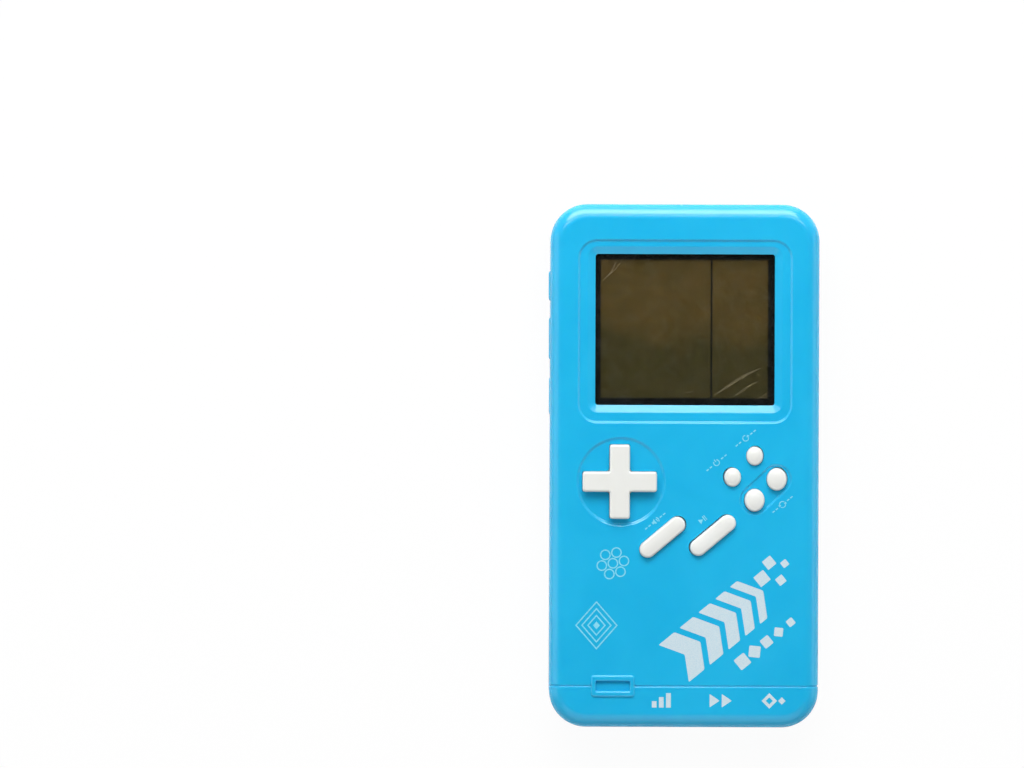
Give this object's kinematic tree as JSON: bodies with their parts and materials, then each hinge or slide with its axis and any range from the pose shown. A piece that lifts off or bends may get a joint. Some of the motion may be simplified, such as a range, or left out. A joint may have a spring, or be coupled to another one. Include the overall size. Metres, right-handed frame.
{
  "type": "handheld lcd game",
  "caption": "Phone-shaped handheld game with a liquid-crystal screen, rocking cross key, round and long push keys, and a sliding battery door.",
  "frame": {"origin": "middle of the back face, on which the game lies", "axes": "+X to the right as the screen is read, +Y towards the top edge, +Z out of the screen face"},
  "size_m": [0.0805, 0.1554, 0.0187],
  "materials": {
    "blue_plastic": "light-blue ABS, glossy",
    "white_plastic": "white ABS, satin",
    "clear_plastic": "clear, polished",
    "panel_glass": "dark olive liquid-crystal panel with polariser",
    "silver_film": "brushed reflector film",
    "cream_plastic": "moulded, matte",
    "grey_silicone": "silicone rubber",
    "pink_elastomer": "elastomer connector",
    "board_laminate": "laminate with solder mask",
    "black_epoxy": "moulded black resin",
    "component": "lacquered component body",
    "steel": "nickel-plated steel",
    "ferrite": "ferrite magnet, matte",
    "paper_cone": "black paper",
    "cell_jacket": "shrink jacket over a steel can",
    "red_wire": "PVC insulation",
    "black_wire": "PVC insulation"
  },
  "bodies": {
    "root": {"front_shell": "blue_plastic", "rear_shell": "blue_plastic", "screen_lens": "clear_plastic", "screen_film": "clear_plastic", "lcd_front_glass": "panel_glass", "lcd_rear_glass": "panel_glass", "lcd_reflector": "silver_film", "lcd_holder": "cream_plastic", "zebra_strip_upper": "pink_elastomer", "zebra_strip_lower": "pink_elastomer", "main_board": "board_laminate", "chip_blob": "black_epoxy", "electrolytic_capacitor": "black_epoxy", "ceramic_capacitor": "component", "timing_resistor": "component", "base_resistor": "component", "speaker_transistor": "black_epoxy", "dpad_membrane": "grey_silicone", "round_key_membrane": "grey_silicone", "pill_key_membrane": "grey_silicone", "speaker_frame": "steel", "speaker_magnet": "ferrite", "speaker_cone": "paper_cone", "battery_wire_red": "red_wire", "battery_wire_black": "black_wire", "speaker_wire_red": "red_wire", "speaker_wire_black": "black_wire", "battery_cell_1": "cell_jacket", "battery_cell_2": "cell_jacket", "negative_plate": "steel", "positive_plate": "steel", "bridge_plate": "steel", "negative_spring": "steel", "bridge_spring": "steel", "case_screw_1": "steel", "case_screw_2": "steel", "case_screw_3": "steel", "case_screw_4": "steel", "case_screw_5": "steel", "case_screw_6": "steel", "board_screw_1": "steel", "board_screw_2": "steel", "board_screw_3": "steel", "board_screw_4": "steel"},
    "dpad_gimbal": {"dpad_pivot_ball": "steel"},
    "dpad": {"dpad_key": "white_plastic"},
    "door": {"battery_door": "blue_plastic"},
    "reset_key": {"reset_key": "white_plastic"},
    "power_key": {"power_key": "white_plastic"},
    "rotate_key": {"rotate_key": "white_plastic"},
    "drop_key": {"drop_key": "white_plastic"},
    "sound_key": {"sound_key": "white_plastic"},
    "start_key": {"start_key": "white_plastic"}
  },
  "joints": [
    {"name": "dpad_tilt_up_down", "type": "hinge", "parent": "root", "child": "dpad_gimbal", "pos_m": [-0.0193, -0.0047, 0.0116], "axis": [1, 0, 0], "range_deg": [-4.5, 4.5], "stiffness_Nm_per_rad": 0.1, "deforming": ["dpad_membrane"]},
    {"name": "dpad_tilt_left_right", "type": "hinge", "parent": "dpad_gimbal", "child": "dpad", "pos_m": [-0.0193, -0.0047, 0.0116], "axis": [0, 1, 0], "range_deg": [-4.5, 4.5], "stiffness_Nm_per_rad": 0.1, "deforming": ["dpad_membrane"]},
    {"name": "reset_key_press", "type": "slide", "parent": "root", "child": "reset_key", "axis": [0, 0, -1], "range_m": [0, 0.001], "stiffness_N_per_m": 800, "deforming": ["round_key_membrane"]},
    {"name": "power_key_press", "type": "slide", "parent": "root", "child": "power_key", "axis": [0, 0, -1], "range_m": [0, 0.001], "stiffness_N_per_m": 800, "deforming": ["round_key_membrane"]},
    {"name": "rotate_key_press", "type": "slide", "parent": "root", "child": "rotate_key", "axis": [0, 0, -1], "range_m": [0, 0.001], "stiffness_N_per_m": 800, "deforming": ["round_key_membrane"]},
    {"name": "drop_key_press", "type": "slide", "parent": "root", "child": "drop_key", "axis": [0, 0, -1], "range_m": [0, 0.001], "stiffness_N_per_m": 800, "deforming": ["round_key_membrane"]},
    {"name": "sound_key_press", "type": "slide", "parent": "root", "child": "sound_key", "axis": [0, 0, -1], "range_m": [0, 0.001], "stiffness_N_per_m": 800, "deforming": ["pill_key_membrane"]},
    {"name": "start_key_press", "type": "slide", "parent": "root", "child": "start_key", "axis": [0, 0, -1], "range_m": [0, 0.001], "stiffness_N_per_m": 800, "deforming": ["pill_key_membrane"]},
    {"name": "battery_door_slide", "type": "slide", "parent": "root", "child": "door", "axis": [0, -1, 0], "range_m": [0, 0.007]}
  ]
}
